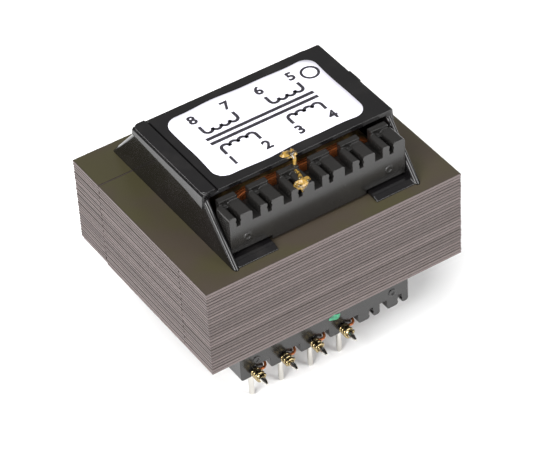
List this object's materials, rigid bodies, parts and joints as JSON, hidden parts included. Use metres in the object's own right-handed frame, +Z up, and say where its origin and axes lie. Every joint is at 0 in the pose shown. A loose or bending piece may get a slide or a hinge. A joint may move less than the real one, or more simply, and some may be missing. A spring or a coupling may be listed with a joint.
{
  "type": "pcb transformer",
  "caption": "Board-mounting mains transformer: laminated EI core, two-chamber coil former with comb terminal rails, wire terminals, black insulating cover and label",
  "frame": {"origin": "On the board plane, under the tips of the lower comb teeth, at the centre of the four pins that face each other across the core", "axes": "+X along the terminal rails, +Y from the secondary side to the primary side, +Z up from the board"},
  "size_m": [0.042, 0.035, 0.0366],
  "materials": {
    "core_steel": "varnished lamination steel, dull olive brown",
    "core_steel_i": "varnished lamination steel, dull olive brown",
    "former_plastic": "black glass-filled moulding",
    "cover_plastic": "black moulding, satin gloss",
    "enamelled_copper": "enamelled copper wire",
    "insulating_tape": "polyester tape",
    "varnished_tape": "polyester tape under brown varnish",
    "label_film": "white printed film, faint lavender cast",
    "tinned_wire": "tinned wire, semi-bright",
    "fluxed_solder": "solder over wire turns, stained by flux and varnish"
  },
  "bodies": {
    "root": {"e_laminations": "core_steel", "i_laminations": "core_steel_i", "coil_former": "former_plastic", "primary_winding_inner": "enamelled_copper", "primary_winding_outer": "enamelled_copper", "primary_interlayer_tape": "insulating_tape", "primary_wrap": "varnished_tape", "secondary_winding_inner": "enamelled_copper", "secondary_winding_outer": "enamelled_copper", "secondary_interlayer_tape": "insulating_tape", "secondary_wrap": "varnished_tape", "cover": "cover_plastic", "label": "label_film", "terminal_1": "tinned_wire", "solder_joint_1": "fluxed_solder", "lead_wire_1": "enamelled_copper", "terminal_2": "tinned_wire", "solder_joint_2": "fluxed_solder", "lead_wire_2": "enamelled_copper", "terminal_3": "tinned_wire", "solder_joint_3": "fluxed_solder", "lead_wire_3": "enamelled_copper", "terminal_4": "tinned_wire", "solder_joint_4": "fluxed_solder", "lead_wire_4": "enamelled_copper", "terminal_5": "tinned_wire", "solder_joint_5": "fluxed_solder", "lead_wire_5": "enamelled_copper", "terminal_6": "tinned_wire", "solder_joint_6": "fluxed_solder", "lead_wire_6": "enamelled_copper", "terminal_7": "tinned_wire", "solder_joint_7": "fluxed_solder", "lead_wire_7": "enamelled_copper", "terminal_8": "tinned_wire", "solder_joint_8": "fluxed_solder", "lead_wire_8": "enamelled_copper"}
  },
  "joints": []
}
